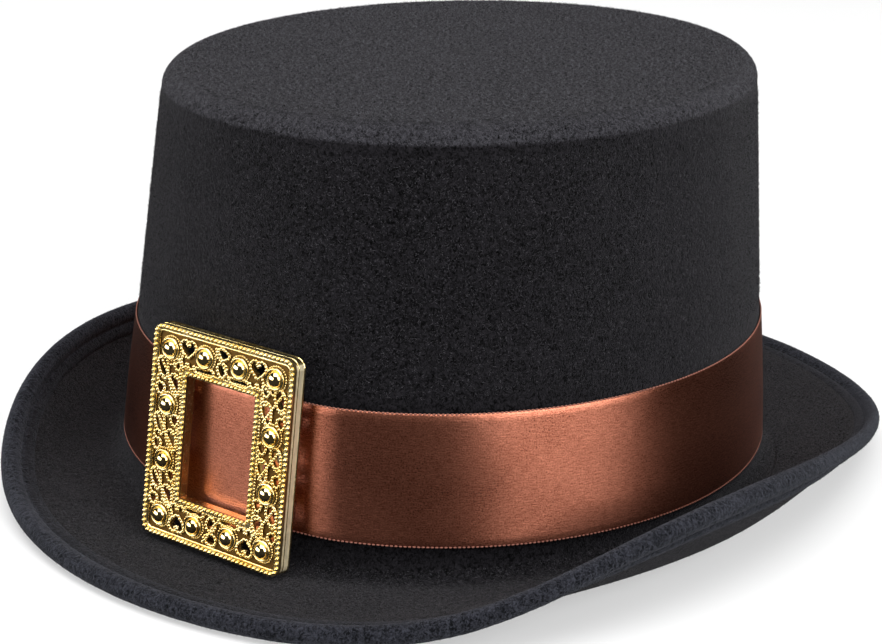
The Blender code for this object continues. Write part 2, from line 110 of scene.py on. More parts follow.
class Brim:
    """The brim's middle surface: flat beside the crown, then rising to the rim as a power of the way out."""

    STEPS = 96

    def __init__(self, turn):
        self.foot = wall(turn, foot_level(turn))
        rim = np.stack(
            [
                sum(size * np.sin(order * turn) for order, size in RIM_X),
                RIM_MID_Y - sum(size * np.cos(order * turn) for order, size in RIM_Y),
                sum(size * np.cos(order * turn) for order, size in enumerate(RIM_Z)),
            ],
            -1,
        )
        flat = (rim - self.foot) * (1.0, 1.0, 0.0)
        self.length = np.linalg.norm(flat, axis=-1)
        self.along = flat / self.length[:, None]
        self.rise = (rim - self.foot)[:, 2]
        self.curl = CURL_FRONT + (CURL_SIDE - CURL_FRONT) * np.sin(turn) ** 2
        steps = np.linspace(0.0, 1.0, self.STEPS)[:, None]
        self.run = self.length - (self.length + FELT) * steps
        fall = np.hypot(np.diff(self.run, axis=0), np.diff(self.height(self.run), axis=0))
        self.arc = np.concatenate([np.zeros((1, len(turn))), np.cumsum(fall, axis=0)])

    def height(self, run):
        part = np.clip((run - LEDGE) / (self.length - LEDGE), 0.0, None)
        return self.foot[:, 2] + self.rise * part**self.curl

    def whole(self):
        return self.arc[-1]

    def at(self, inset, out=0.0):
        """Points inset along the surface from the rim, lifted out along its normal. One row for all turns."""
        inset = np.broadcast_to(inset, self.length.shape)
        index = np.clip((self.arc < inset).sum(axis=0) - 1, 0, self.STEPS - 2)
        column = np.arange(len(self.length))
        near, far = self.arc[index, column], self.arc[index + 1, column]
        share = (inset - near) / (far - near)
        run = self.run[index, column] * (1.0 - share) + self.run[index + 1, column] * share
        slope = (self.height(run + 1e-4) - self.height(run - 1e-4)) / 2e-4
        normal = unit(np.array([0.0, 0.0, 1.0]) - slope[:, None] * self.along)
        middle = self.foot * (1.0, 1.0, 0.0) + run[:, None] * self.along
        middle[:, 2] = self.height(run)
        return middle + np.reshape(out, (-1, 1)) * normal

    def hem(self, inset, out):
        """Like at, but beyond the wire the fold keeps square to the brim at its edge."""
        if inset >= HEM_HALF:
            return self.at(inset, out)
        centre = self.at(HEM_HALF)
        normal = unit(self.at(HEM_HALF, 1e-3) - centre)
        outward = self.along - (self.along * normal).sum(-1, keepdims=True) * normal
        return centre + (HEM_HALF - inset) * unit(outward) + np.reshape(out, (-1, 1)) * normal


def ripple(turn, seed, orders=(2, 3, 5, 7, 11), fade=0.6):
    """A smooth closed waver round the hat: a few sine waves of fixed phases."""
    phases = np.random.default_rng(seed).uniform(0.0, TAU, len(orders))
    waves = [fade**i * np.sin(order * turn + phases[i]) for i, order in enumerate(orders)]
    return sum(waves) / sum(fade**i for i in range(len(orders)))


# --- mesh making


def build(name, points, faces, smooth=True, corner_uv=None):
    """A mesh object from an array of points and a list of arrays of faces, with a flat place for each face corner."""
    mesh = bpy.data.meshes.new(name)
    polygons = [face for block in faces for face in block.tolist()]
    mesh.from_pydata(np.asarray(points, float).reshape(-1, 3).tolist(), [], polygons)
    mesh.polygons.foreach_set("use_smooth", np.full(len(polygons), smooth))
    if corner_uv is not None:
        layer = mesh.uv_layers.new(name="surface")
        layer.data.foreach_set("uv", np.asarray(corner_uv, np.float32).ravel())
    mesh.update()
    obj = bpy.data.objects.new(name, mesh)
    bpy.context.scene.collection.objects.link(obj)
    return obj


def grid_faces(rows, columns, wrap_columns=True, wrap_rows=False):
    """Quads of a grid, numbered row by row, facing out when rows run down and columns run to the wearer's left."""
    down = np.arange(rows if wrap_rows else rows - 1)[:, None]
    across = np.arange(columns if wrap_columns else columns - 1)[None, :]
    below, beside = (down + 1) % rows, (across + 1) % columns
    quads = (down * columns + across, below * columns + across, below * columns + beside, down * columns + beside)
    return np.stack(quads, -1).reshape(-1, 4)


def cap_faces(rows, columns):
    """Fans that close a grid's first and last ring onto two poles, which come after the grid's points."""
    here = np.arange(columns)
    beside = (here + 1) % columns
    pole = np.full(columns, rows * columns)
    last = (rows - 1) * columns
    return [np.stack([pole, here, beside], -1), np.stack([pole + 1, last + beside, last + here], -1)]


def end_fans(sides, width):
    """Fans that close both ends of an open tube onto two poles, which come after the tube's points."""
    here = width * np.arange(sides)
    beside = np.roll(here, -1)
    pole = np.full(sides, sides * width)
    return [np.stack([pole, beside, here], -1), np.stack([pole + 1, here + width - 1, beside + width - 1], -1)]


def side_strips(rows, columns):
    """Quads that close the two open sides of a flattened loop of rows: its front rows, then its back rows."""
    strips = []
    for column, order in ((0, 1), (columns - 1, -1)):
        ring = np.arange(rows) * columns + column
        near, far = ring[: rows // 2], ring[rows // 2 :][::-1]
        strips.append(np.stack([near[:-1], far[:-1], far[1:], near[1:]], -1)[:, ::order])
    return strips


def turned_skin(name, rows, poles=None, wrap_rows=False):
    """Skins rows that each run once round the hat. Poles close the first and the last row with fans.
    Without poles, a corner's flat place is its way round the hat and its way down the section, both in metres."""
    grid = np.stack(rows)
    count, around = grid.shape[:2]
    faces = [grid_faces(count, around, True, wrap_rows)]
    points = grid.reshape(-1, 3)
    if poles is None:
        u = np.linalg.norm(grid[0] - np.roll(grid[0], 1, axis=0), axis=1).cumsum()
        u = np.append(u, u[-1] + u[0])
        v = np.linalg.norm(np.diff(grid[:, 0], axis=0), axis=1).cumsum()
        v = np.concatenate([[0.0], v, v[-1:] + 0.001])
        down = len(faces[0]) // around
        spots = np.stack(np.meshgrid(u, v[: down + 1]), -1)
        corners = [spots[:-1, :-1], spots[1:, :-1], spots[1:, 1:], spots[:-1, 1:]]
        corner_uv = np.stack(corners, 2).reshape(-1, 2)
        return build(name, points, faces, corner_uv=corner_uv)
    return build(name, np.concatenate([points, np.asarray(poles)]), faces + cap_faces(count, around))


def copies(name, template, centres, axes, smooth=True):
    """Repeats a small closed shape: each copy's points are centre + template times its three axes."""
    shape, faces = template
    count, size = len(centres), len(shape)
    points = centres[:, None, :] + np.einsum("vk,nkj->nvj", shape, axes)
    shift = (np.arange(count) * size)[:, None, None]
    blocks = [(block[None] + shift).reshape(-1, block.shape[1]) for block in faces]
    return build(name, points, blocks, smooth)


def ball(around=8, rows=4):
    """A unit ball: rings of latitude between two poles."""
    fall = math.pi * np.arange(1, rows) / rows
    turn = TAU * np.arange(around) / around
    x = np.sin(fall)[:, None] * np.cos(turn)
    y = np.sin(fall)[:, None] * np.sin(turn)
    z = np.broadcast_to(np.cos(fall)[:, None], x.shape)
    points = np.concatenate([np.stack([x, y, z], -1).reshape(-1, 3), [[0, 0, 1], [0, 0, -1]]])
    return points, [grid_faces(rows - 1, around)] + cap_faces(rows - 1, around)


def frames(tangent, normal):
    """Right-handed axes from the way along and a rough normal, as an array of three rows each."""
    along = unit(tangent)
    side = unit(np.cross(normal, along))
    return np.stack([along, side, np.cross(along, side)], 1)


def evenly(path, pitch, count=None):
    """Points at equal distances along a closed or open path of points, and the way along it there."""
    steps = np.linalg.norm(np.diff(path, axis=0), axis=1)
    arc = np.concatenate([[0.0], np.cumsum(steps)])
    count = count or max(2, int(round(arc[-1] / pitch)))
    at = arc[-1] * (np.arange(count) + 0.5) / count

    def spots(way):
        return np.stack([np.interp(way, arc, path[:, k]) for k in range(3)], -1)

    return spots(at), unit(spots(at + 1e-5) - spots(at - 1e-5))


def tube(path, radius, sides=10, closed=True):
    """A round tube: a circle carried along a path, square to it."""
    if closed:
        tangent = np.roll(path, -1, axis=0) - np.roll(path, 1, axis=0)
    else:
        tangent = np.gradient(path, axis=0)
    axes = frames(tangent, np.broadcast_to((0.0, 0.0, 1.0), path.shape))
    turn = TAU * np.arange(sides) / sides
    ring = np.cos(turn)[:, None, None] * axes[None, :, 1] + np.sin(turn)[:, None, None] * axes[None, :, 2]
    rows = path[None] + radius * ring
    points = rows.reshape(-1, 3)
    faces = [grid_faces(sides, len(path), closed, True)[:, ::-1]]
    if not closed:
        points = np.concatenate([points, path[[0, -1]]])
        faces += end_fans(sides, len(path))
    return points, faces


def joined(parts):
    """Several (points, faces) shapes as one."""
    points, faces, start = [], [], 0
    for shape, blocks in parts:
        points.append(shape)
        faces += [block + start for block in blocks]
        start += len(shape)
    return np.concatenate(points), faces


# --- finishes


class Signal:
    """A shader value that Python operators combine into Math nodes."""

    def __init__(self, finish, socket):
        self.finish = finish
        self.socket = socket

    def maths(self, operation, *values):
        inputs = dict(enumerate(values))
        return self.finish.node("ShaderNodeMath", {"operation": operation}, inputs)

    def __add__(self, other):
        return self.maths("ADD", self, other)

    def __radd__(self, other):
        return self.maths("ADD", other, self)

    def __sub__(self, other):
        return self.maths("SUBTRACT", self, other)

    def __rsub__(self, other):
        return self.maths("SUBTRACT", other, self)

    def __mul__(self, other):
        return self.maths("MULTIPLY", self, other)

    def __rmul__(self, other):
        return self.maths("MULTIPLY", other, self)


class Finish:
    """A material and the nodes that make it."""

    def __init__(self, name, **constants):
        self.material = bpy.data.materials.new(name)
        self.material.use_nodes = True
        self.nodes = self.material.node_tree.nodes
        self.shader = self.nodes["Principled BSDF"]
        for socket, value in constants.items():
            self.shader.inputs[socket.replace("_", " ")].default_value = value

    def node(self, kind, settings, inputs, output=0):
        node = self.nodes.new(kind)
        for key, value in settings.items():
            setattr(node, key, value)
        for key, value in inputs.items():
            if isinstance(value, Signal):
                self.material.node_tree.links.new(value.socket, node.inputs[key])
            else:
                node.inputs[key].default_value = value
        return Signal(self, node.outputs[output])

    def place(self):
        return self.node("ShaderNodeTexCoord", {}, {}, "Object")

    def surface(self):
        return self.node("ShaderNodeUVMap", {"uv_map": "surface"}, {})

    def mapped(self, vector, scale=(1.0, 1.0, 1.0), rotation=(0.0, 0.0, 0.0)):
        return self.node("ShaderNodeMapping", {}, {"Vector": vector, "Scale": scale, "Rotation": rotation})

    def noise(self, vector, scale, detail=3.0, roughness=0.5, distortion=0.0):
        inputs = {"Vector": vector, "Scale": scale, "Detail": detail}
        inputs.update({"Roughness": roughness, "Distortion": distortion})
        return self.node("ShaderNodeTexNoise", {}, inputs, "Fac")

    def cells(self, vector, scale):
        return self.node("ShaderNodeTexVoronoi", {}, {"Vector": vector, "Scale": scale}, "Distance")

    def blend(self, share, first, second):
        return self.node("ShaderNodeMix", {"data_type": "RGBA"}, {0: share, 6: first, 7: second}, 2)

    def spread(self, value, low, high, to_low=0.0, to_high=1.0):
        inputs = {"Value": value, "From Min": low, "From Max": high, "To Min": to_low, "To Max": to_high}
        return self.node("ShaderNodeMapRange", {"clamp": True}, inputs)

    def bump(self, height, distance, strength=1.0):
        return self.node("ShaderNodeBump", {}, {"Height": height, "Distance": distance, "Strength": strength})

    def part(self, vector, letter):
        return self.node("ShaderNodeSeparateXYZ", {}, {0: vector}, letter)

    def on_axis(self, place, column):
        """How far a spot lies along one of the buckle's own axes, from the buckle's middle."""
        way = BUCKLE_TURN[:, column]
        dot = self.node("ShaderNodeVectorMath", {"operation": "DOT_PRODUCT"}, {0: place, 1: tuple(way)}, "Value")
        return dot - float(way @ BUCKLE_ORIGIN)

    def feed(self, **sockets):
        for socket, signal in sockets.items():
            self.material.node_tree.links.new(signal.socket, self.shader.inputs[socket.replace("_", " ")])
        return self.material


def rgb(red, green, blue):
    return (red, green, blue, 1.0)


MATT = {"Roughness": 0.95, "Sheen_Weight": 0.10, "Specular_IOR_Level": 0.05}


def felt_finish(name, dark, light, painted_edge_light):
    """Short-napped wool felt: soft clouds of tone, matted fibre clumps and a fine criss-cross of hairs. The turned
    edge of the tip is painted paler, a painted highlight of the overhead light on the roll, down to where the wall
    begins."""
    finish = Finish(name, Sheen_Roughness=0.28, Sheen_Tint=rgb(0.88, 0.87, 0.92), **MATT)
    place = finish.place()
    clouds = finish.noise(place, 38.0, 3.0, 0.55, 0.3)
    clumps = finish.noise(place, 900.0, 3.0, 0.7, 1.0)
    ways = ((1300, 4600, 1300), (0.3, 0.5, 0.7)), ((4600, 1300, 1300), (0.9, 0.2, 1.9))
    one, two = (finish.noise(finish.mapped(place, *way), 1.0, 2.0, 0.5, 1.2) for way in ways)
    hairs = one * 0.5 + two * 0.5
    tone = clouds * 0.07 + clumps * 0.6 + hairs * 0.4 - 0.035
    color = finish.blend(finish.spread(tone, 0.41, 0.60), dark, light)
    level = finish.part(place, "Z")
    # painted highlight: a band picked out by height on the tip's turned edge, easing off near the top, is blended
    # towards the pale edge colour
    edge = finish.spread(level, 0.1238, 0.1250) * (1.0 - 0.45 * finish.spread(level, 0.1284, 0.1297))
    color = finish.blend(edge * finish.spread(tone, 0.40, 0.58), color, painted_edge_light)
    height = clumps * 0.7 + hairs * 0.6
    return finish.feed(Base_Color=color, Normal=finish.bump(height, 0.0009, 1.0))


def hem_finish(dark, light):
    """The folded hem: the same felt, faintly ribbed crosswise by the sewing, its inner lip as dark as the brim. The
    rest of the hem is painted paler and bluer, and its sheen tinted blue, as a painted sky reflection on the roll.
    """
    finish = Finish("hem_felt_painted_reflection", Sheen_Roughness=0.35, Sheen_Tint=rgb(0.84, 0.88, 1.0), **MATT)
    place = finish.place()
    ribs = finish.noise(finish.mapped(finish.surface(), (900, 330, 1), (0.0, 0.0, 0.35)), 1.0, 2.0, 0.5, 0.6)
    clumps = finish.noise(place, 1200.0, 3.0, 0.7, 1.0)
    clouds = finish.noise(place, 60.0, 2.0)
    tone = ribs * 0.22 + clumps * 0.72 + clouds * 0.1 - 0.02
    shade = finish.spread(tone, 0.42, 0.60)
    color = finish.blend(shade, dark, light)
    down = finish.part(finish.surface(), "Y")
    lip = 1.0 - finish.spread(down, 0.0030, 0.0042)
    color = finish.blend(lip, color, finish.blend(shade, rgb(0.0008, 0.0007, 0.0009), rgb(0.0180, 0.0170, 0.0200)))
    return finish.feed(Base_Color=color, Normal=finish.bump(ribs * 0.22 + clumps * 0.8, 0.0008, 1.0))


def nap_finish(name, dark, light):
    """Loose fibres: like the felt, with each tuft a shade of its own."""
    finish = Finish(name, Roughness=0.9, Specular_IOR_Level=0.1, Sheen_Weight=0.05)
    tufts = finish.noise(finish.place(), 1000.0, 2.0, 0.6)
    return finish.feed(Base_Color=finish.blend(finish.spread(tufts, 0.44, 0.60), dark, light))


def satin_finish():
    """Satin ribbon: long lengthwise floats that catch the light across the band, over a faint grain."""
    finish = Finish("satin", Metallic=0.98, Anisotropic=0.8, Anisotropic_Rotation=0.25)
    across = finish.surface()
    floats = finish.noise(finish.mapped(across, (420, 2600, 1)), 1.0, 2.0, 0.6)
    grain = finish.noise(finish.mapped(across, (2100, 2500, 1)), 1.0, 2.0, 0.7)
    clouds = finish.noise(finish.mapped(across, (26, 40, 1)), 1.0, 3.0, 0.5, 0.4)
    tone = floats * 0.40 + grain * 0.65 + clouds * 0.25 - 0.15
    color = finish.blend(finish.spread(tone, 0.38, 0.64), rgb(0.275, 0.085, 0.049), rgb(0.635, 0.235, 0.147))
    rough = finish.spread(grain + clouds * 0.5, 0.5, 1.0, 0.26, 0.34)
    bump = finish.bump(floats * 0.4 + grain * 0.6, 0.00012, 0.85)
    return finish.feed(Base_Color=color, Roughness=rough, Normal=bump)


def gilt_finish(name, ripples, smooth, rough, ground=False):
    """Bright gold plating over a casting: small ripples, paler where it is rubbed. The sunk ground of the openwork is
    coloured dark brown and made rougher; the outer side walls get a pale painted highlight and a rougher finish."""
    finish = Finish(name, Metallic=1.0)
    place = finish.place()
    ripple_height = finish.noise(place, 900.0, 3.0, 0.6)
    patches = finish.noise(place, 160.0, 3.0, 0.6, 0.5)
    color = finish.blend(finish.spread(patches, 0.35, 0.65), rgb(0.92, 0.68, 0.25), rgb(1.0, 0.84, 0.46))
    sheen = finish.spread(ripple_height, 0.3, 0.7, smooth, rough)
    height = finish.bump(ripple_height, ripples, 0.5)
    if ground:
        level = finish.on_axis(place, 2)
        sunk = finish.spread(level, -0.0003, -0.0001) * (1.0 - finish.spread(level, 0.0002, 0.0005))
        color = finish.blend(sunk, color, rgb(0.13, 0.070, 0.018))
        # painted highlight: the outer side walls, below the face and far out from the buckle's middle, are painted
        # pale gold
        across = finish.on_axis(place, 0)
        far_out = finish.spread(across.maths("ABSOLUTE", across), 0.0250, 0.0252)
        side = (1.0 - finish.spread(level, -0.0005, -0.0003)) * far_out
        color = finish.blend(side, color, rgb(0.96, 0.85, 0.60))
        sheen = sheen + sunk * 0.3 + side * 0.35
    return finish.feed(Base_Color=color, Roughness=sheen, Normal=height)


def thread_finish(name, tone, roughness=0.7):
    """Spun thread with a tight twist."""
    finish = Finish(name, Roughness=roughness, Specular_IOR_Level=0.2)
    fuzz = finish.noise(finish.place(), 2400.0, 2.0)
    pale = tuple(min(1.0, 1.8 * part) for part in tone[:3])
    return finish.feed(Base_Color=finish.blend(fuzz, tone, rgb(*pale)), Normal=finish.bump(fuzz, 0.0001, 0.5))


def leather_finish():
    """Thin black leather: pebbled grain over soft creases."""
    finish = Finish("sweatband_leather", Specular_IOR_Level=0.4)
    place = finish.place()
    pebbles = finish.cells(place, 1300.0)
    creases = finish.noise(place, 160.0, 4.0, 0.6, 0.8)
    color = finish.blend(creases, rgb(0.012, 0.011, 0.011), rgb(0.040, 0.036, 0.034))
    rough = finish.spread(pebbles, 0.1, 0.7, 0.42, 0.62)
    grain = finish.bump(pebbles * 0.6 + creases * 0.4, 0.0002, 0.6)
    return finish.feed(Base_Color=color, Roughness=rough, Normal=grain)


def lining_finish():
    """Black lining cloth: a fine diagonal twill with a low sheen."""
    finish = Finish("lining_cloth", Sheen_Weight=0.3, Specular_IOR_Level=0.45)
    place = finish.place()
    twill = finish.noise(finish.mapped(place, (2600, 500, 1500), (0.4, 0.6, 0.2)), 1.0, 2.0)
    folds = finish.noise(place, 40.0, 2.0)
    color = finish.blend(twill * 0.6 + folds * 0.4, rgb(0.012, 0.012, 0.014), rgb(0.050, 0.048, 0.054))
    rough = finish.spread(folds, 0.3, 0.7, 0.38, 0.55)
    return finish.feed(Base_Color=color, Roughness=rough, Normal=finish.bump(twill, 0.00012, 0.5))


def plain_finish(name, dark, light, roughness, scale, metallic=0.0):
    """A quiet surface with soft marks of tone and gloss."""
    finish = Finish(name, Metallic=metallic)
    marks = finish.noise(finish.place(), scale, 3.0, 0.6)
    rough = finish.spread(marks, 0.3, 0.7, roughness * 0.85, min(1.0, roughness * 1.15))
    color = finish.blend(marks, dark, light)
    return finish.feed(Base_Color=color, Roughness=rough, Normal=finish.bump(marks, 0.0001, 0.5))


# the third colour is the painted highlight on the tip's turned edge
felt = felt_finish("felt", rgb(0.0006, 0.0005, 0.0007), rgb(0.0155, 0.0144, 0.0168), rgb(0.0440, 0.0430, 0.0500))
# painted sky reflection: the hem's tones are paler and bluer than the brim felt's
hem_felt_painted_reflection = hem_finish(rgb(0.0030, 0.0032, 0.0042), rgb(0.0310, 0.0322, 0.0410))
nap = nap_finish("nap", rgb(0.0008, 0.0007, 0.0009), rgb(0.0560, 0.0525, 0.0600))
# painted light: the tip and edge nap are painted about twice as pale as the wall nap, standing in for the overhead
# light on the top and on the roll
tip_nap_painted_light = nap_finish("tip_nap_painted_light", rgb(0.0010, 0.0009, 0.0011), rgb(0.1080, 0.1045, 0.1200))
edge_nap_painted_light = nap_finish("edge_nap_painted_light", rgb(0.0040, 0.0039, 0.0044), rgb(0.0980, 0.0960, 0.1080))
# painted sky reflection: the hem nap is bluer than the wall nap
hem_nap_painted_reflection = nap_finish("hem_nap_painted_reflection", rgb(0.0040, 0.0043, 0.0054), rgb(0.0420, 0.0435, 0.0530))
satin = satin_finish()
picot_thread = thread_finish("picot_thread", rgb(0.16, 0.066, 0.048))
gilt = gilt_finish("gilt", 0.00006, 0.10, 0.22)
cast_gilt = gilt_finish("cast_gilt", 0.00008, 0.16, 0.30, True)
polish = gilt_finish("polished_gilt", 0.00002, 0.06, 0.12)
black_thread = thread_finish("black_thread", rgb(0.006, 0.006, 0.007), 0.9)
leather = leather_finish()
lining = lining_finish()
wire_steel = plain_finish("wire_steel", rgb(0.22, 0.22, 0.23), rgb(0.42, 0.42, 0.44), 0.4, 900.0, 1.0)
adhesive = plain_finish("adhesive", rgb(0.55, 0.50, 0.40), rgb(0.75, 0.72, 0.62), 0.55, 700.0)
label_cloth = plain_finish("label_cloth", rgb(0.60, 0.59, 0.55), rgb(0.80, 0.79, 0.75), 0.8, 1800.0)


def finish_piece(obj, material, slot, *nodes):
    obj.data.materials.clear()
    obj.data.materials.append(material)
    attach(obj, "root")
    if nodes:
        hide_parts(*nodes)
    return obj


# --- felt body


def felt_rows(turn):
    """The felt's whole skin as rows: tip, edge, wall, foot, brim top, brim underside and the inside. Also says at
    which row the edge, the wall, the foot, the underside and the inside start."""
    brim = Brim(turn)
    whole = brim.whole()
    rows, starts = [], []
    for share in np.linspace(0.03, 1.0, 20)[:-1]:
        sag = 0.00025 * ripple(turn, 3) * share * (1.0 - share) * 4.0
        rows.append(tip(turn, TIP_Z + sag, share))
    starts.append(len(rows))
    for step in range(13):
        bend = math.pi / 2 * step / 12
        soft = 0.00018 * ripple(turn, 5, (3, 7, 13, 22)) * math.sin(bend)
        rows.append(wall(turn, TIP_Z - TIP_EDGE * (1.0 - math.cos(bend)), TIP_EDGE * (math.sin(bend) - 1.0) + soft))
    starts.append(len(rows))
    foot_top = foot_level(turn) + FELT / 2
    for share in np.linspace(0.0, 1.0, 46)[1:]:
        height = (TIP_Z - TIP_EDGE) * (1.0 - share) + (foot_top + FOOT_FILLET) * share
        above = np.clip((height - 0.056) / 0.02, 0.0, 1.0)
        soft = 0.00022 * above * (ripple(turn + 3.0 * height, 7, (2, 5, 9, 14)) + 0.5 * ripple(turn, 8, (19, 31)))
        rows.append(wall(turn, height, soft))
    starts.append(len(rows))
    for step in range(1, 12):
        bend = math.pi / 2 * step / 12
        out = FOOT_FILLET * (1.0 - math.cos(bend))
        rows.append(wall(turn, foot_top + FOOT_FILLET * (1.0 - math.sin(bend)), out))
    start = whole - FELT - FOOT_FILLET
    for share in np.linspace(0.0, 1.0, 40):
        inset = start * (1.0 - share) + FELT_END * share
        waver = 0.0002 * np.sin(math.pi * share) * ripple(turn + 2.0 * share, 11, (3, 5, 8, 13))
        rows.append(brim.at(inset, FELT / 2 + waver))
    starts.append(len(rows))
    for share in np.linspace(0.0, 1.0, 34):
        inset = FELT_END * (1.0 - share) + (whole - 0.0006) * share
        rows.append(brim.at(inset, -FELT / 2))
    rows.append(wall(turn, foot_level(turn) - FELT / 2 + 0.0008, -FELT))
    starts.append(len(rows))
    inner_top = TIP_Z - TIP_EDGE
    for share in np.linspace(0.05, 1.0, 14):
        height = (foot_level(turn)) * (1.0 - share) + inner_top * share
        rows.append(wall(turn, height, -FELT))
    for step in range(1, 5):
        bend = math.pi / 2 * step / 4
        inner_edge = TIP_EDGE - FELT
        height = inner_top + inner_edge * math.sin(bend)
        rows.append(wall(turn, height, -FELT - inner_edge * (1.0 - math.cos(bend))))
    for share in (0.8, 0.5, 0.2):
        rows.append(tip(turn, TIP_Z - FELT, share))
    return rows, starts


around = TAU * np.arange(400) / 400
felt_grid, felt_parts = felt_rows(around)
middle_y = WALL_MID_Y + WALL_LEAN * (TIP_Z - GAUGE_Z)
felt_poles = ((0.0, middle_y, TIP_Z), (0.0, middle_y, TIP_Z - FELT))
felt_body = turned_skin("felt_body", felt_grid, felt_poles)
finish_piece(felt_body, felt, "felt", "crown_felt", "brim_felt")


def scatter_on(rows, count, seed):
    """Random spots on a grid of rows, even by area, with the surface normal and a way along it."""
    grid = np.stack(rows)
    closed = np.concatenate([grid, grid[:, :1]], axis=1)
    corner = closed[:-1, :-1]
    down = closed[1:, :-1] - corner
    side = closed[:-1, 1:] - corner
    normal = np.cross(down, side)
    area = np.linalg.norm(normal, axis=-1).ravel()
    draw = np.random.default_rng(seed)
    pick = draw.choice(len(area), count, p=area / area.sum())
    a, b = draw.uniform(0.0, 1.0, (2, count, 1))
    spots = corner.reshape(-1, 3)[pick] + a * down.reshape(-1, 3)[pick] + b * side.reshape(-1, 3)[pick]
    return spots, unit(normal.reshape(-1, 3)[pick]), unit(side.reshape(-1, 3)[pick]), draw


SPIKE = (
    np.array([[0.5, -0.29, 0.0], [-0.5, -0.29, 0.0], [0.0, 0.58, 0.0], [0.0, 0.0, 1.0]]),
    [np.array([[0, 2, 1], [0, 1, 3], [1, 2, 3], [2, 0, 3]])],
)


def fibres(name, rows, count, seed, length, material, slot, lift=0.45, width=0.00009):
    """Nap: slender spikes leaning every way over the felt, most of them lying low."""
    spots, normal, side, draw = scatter_on(rows, count, seed)
    heading = draw.uniform(0.0, TAU, (count, 1))
    flat = np.cos(heading) * side + np.sin(heading) * np.cross(normal, side)
    stand = np.abs(draw.normal(lift, 0.28, (count, 1))) + 0.12
    way = unit(flat + stand * normal)
    reach = length * draw.uniform(0.45, 1.25, (count, 1))
    across = unit(np.cross(way, normal))
    axes = np.stack([width * across, width * np.cross(way, across), reach * way], 1)
    axes[:, 1] *= np.sign(np.einsum("nj,nj->n", np.cross(axes[:, 0], axes[:, 1]), way))[:, None]
    obj = copies(name, SPIKE, spots - 0.00003 * normal, axes)
    return finish_piece(obj, material, slot)


edge_row, wall_row, foot_row, under_row, inside_row = felt_parts
bare_wall = [row for row in felt_grid[wall_row:foot_row] if row[:, 2].min() > BAND_HIGH + 0.0005]
bare_brim = felt_grid[foot_row + 3 : under_row - 8]
tip_rows, turned_rows = felt_grid[: edge_row + 3], felt_grid[edge_row + 1 : edge_row + 12]
under_rows = felt_grid[under_row + 6 : inside_row - 2]
for patch, rows, count, seed, length, material, lift, width in (
    ("nap_tip_one", tip_rows, 40000, 21, 0.00100, tip_nap_painted_light, 0.6, 0.00013),
    ("nap_tip_two", tip_rows, 40000, 27, 0.00100, tip_nap_painted_light, 0.6, 0.00013),
    ("nap_edge", turned_rows, 30000, 22, 0.00062, edge_nap_painted_light, 0.6, 0.00010),
    ("nap_wall_one", bare_wall, 38000, 23, 0.00090, nap, 0.4, 0.00013),
    ("nap_wall_two", bare_wall, 34000, 29, 0.00090, nap, 0.4, 0.00013),
    ("nap_brim_one", bare_brim, 30000, 24, 0.00095, nap, 0.5, 0.00013),
    ("nap_brim_two", bare_brim, 30000, 28, 0.00095, nap, 0.5, 0.00013),
    ("nap_under", under_rows, 8000, 25, 0.00065, nap, 0.45, 0.00009),
):
    fibres(patch, rows, count, seed, length, material, "felt", lift, width)


# --- rolled hem of the brim

STITCH = 0.0032
HEM_COLUMNS = 1300
SEAM = 0.0060


def hem_section():
    """Half of the hem's section, from its inner lip to the middle of the roll, as (inset, out) pairs."""
    lip = [(0.01010, 0.00112), (0.01000, 0.00131), (0.00970, 0.00150), (0.00920, 0.00172)]
    lip += [(0.00850, 0.00190), (0.00780, 0.00196), (0.00710, 0.00192), (0.00660, 0.00180)]
    groove = [(0.00625, 0.00166), (SEAM, 0.00160), (0.00575, 0.00170), (0.00540, 0.00196)]
    roll = [(0.00500, 0.00226), (0.00450, 0.00252), (0.00390, 0.00274)]
    nose = [
        (HEM_HALF * (1.0 - math.sin(bend)), HEM_HALF * math.cos(bend))
        for bend in np.linspace(-0.15, math.pi / 2, 11)
    ]
    return lip + groove + roll + nose


def hem_skin():
    """The hem: a soft roll, a sewn groove that puckers at each stitch and a narrow lip, above and below the brim."""
    turn = TAU * np.arange(HEM_COLUMNS) / HEM_COLUMNS
    brim = Brim(turn)
    line = brim.at(SEAM)
    steps = np.linalg.norm(np.roll(line, -1, axis=0) - line, axis=1)
    arc = np.concatenate([[0.0], np.cumsum(steps)[:-1]])
    stitches = round(steps.sum() / STITCH)
    beat = 0.5 + 0.5 * np.cos(TAU * stitches * arc / steps.sum())
    half = hem_section()
    section = half + [(inset, -out) for inset, out in half[-2::-1]]
    rows = []
    proud = 0.40 + 0.85 * np.sin(turn) ** 2
    for index, (inset, out) in enumerate(section):
        if inset > SEAM:
            out = math.copysign(1.0, out) * (0.00112 + (abs(out) - 0.00112) * proud)
        side = 1.0 if index < len(half) else -1.0
        near = math.exp(-(((inset - SEAM) / 0.0007) ** 2))
        swell = math.exp(-(((inset - 0.0035) / 0.0032) ** 2))
        waver = 0.00014 * swell * ripple(turn, 31 + (side < 0), (6, 11, 19, 37, 61, 103), 0.9)
        pucker = -0.00012 * near * beat + 0.00006 * (1.0 - near) * swell * (1.0 - beat)
        rows.append(brim.hem(inset, out + side * (waver + pucker)))
    inner = 0.0009
    for inset, out in ((0.0096, -inner), (0.0060, -inner), (0.0046, 0.0), (0.0060, inner), (0.0096, inner)):
        rows.append(brim.at(inset, out))
    return turned_skin("brim_hem", rows, wrap_rows=True), rows, len(section), brim


brim_hem, hem_rows, hem_count, fine_brim = hem_skin()
finish_piece(brim_hem, hem_felt_painted_reflection, "binding_tape", "edge_binding")
fibres("nap_hem", hem_rows[1 : hem_count - 1], 26000, 26, 0.00060, hem_nap_painted_reflection, "binding_tape", 0.5)


